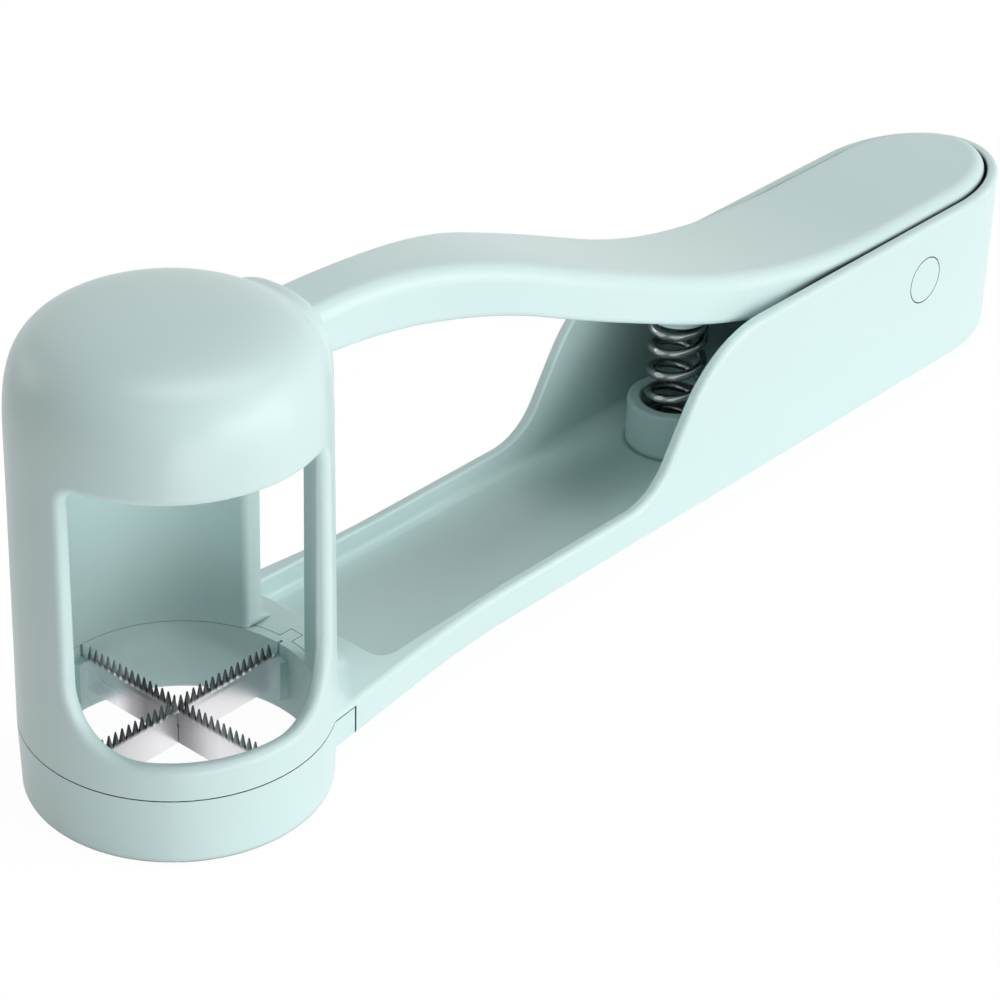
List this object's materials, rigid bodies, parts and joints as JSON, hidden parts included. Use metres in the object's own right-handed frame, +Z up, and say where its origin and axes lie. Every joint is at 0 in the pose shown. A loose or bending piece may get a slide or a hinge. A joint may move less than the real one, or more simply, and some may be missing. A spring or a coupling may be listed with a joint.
{
  "type": "fruit press cutter",
  "caption": "Hand-held press cutter: a sprung lever drives a pusher down a domed tower and through crossed serrated blades to quarter small fruit.",
  "frame": {"origin": "centre of the bounding box in plan, at the underside of the blade ring", "axes": "+X from the tower to the rear of the handle, +Y to the closed side of the tower, +Z up"},
  "size_m": [0.18, 0.038, 0.0624],
  "materials": {
    "shell_plastic": "satin, pale mint",
    "blade_steel": "ground stainless steel",
    "spring_steel": "polished dark spring steel"
  },
  "bodies": {
    "frame": {"body": "shell_plastic", "pivot_pin": "blade_steel", "pin_caps": "shell_plastic", "spring": "spring_steel"},
    "lever": {"lever": "shell_plastic"},
    "pusher": {"pusher": "shell_plastic", "pusher_pin": "blade_steel"},
    "base": {"blade_base": "shell_plastic", "long_blade": "blade_steel", "cross_blade": "blade_steel"}
  },
  "joints": [
    {"name": "lever_press", "type": "hinge", "parent": "frame", "child": "lever", "pos_m": [0.06264, 0, 0.02045], "axis": [0, -1, 0], "range_deg": [0, 16], "stiffness_Nm_per_rad": 7, "springref_deg": -3.84, "deforming": ["spring"]},
    {"name": "pusher_level", "type": "hinge", "parent": "lever", "child": "pusher", "pos_m": [-0.0689, 0, 0.0536], "axis": [0, 1, 0], "range_deg": [0, 16]},
    {"name": "base_release", "type": "slide", "parent": "frame", "child": "base", "axis": [0, 0, -1], "range_m": [0, 0.03]}
  ],
  "couplings": [
    {"joint": "pusher_level", "follows": "lever_press", "ratio": 1}
  ]
}
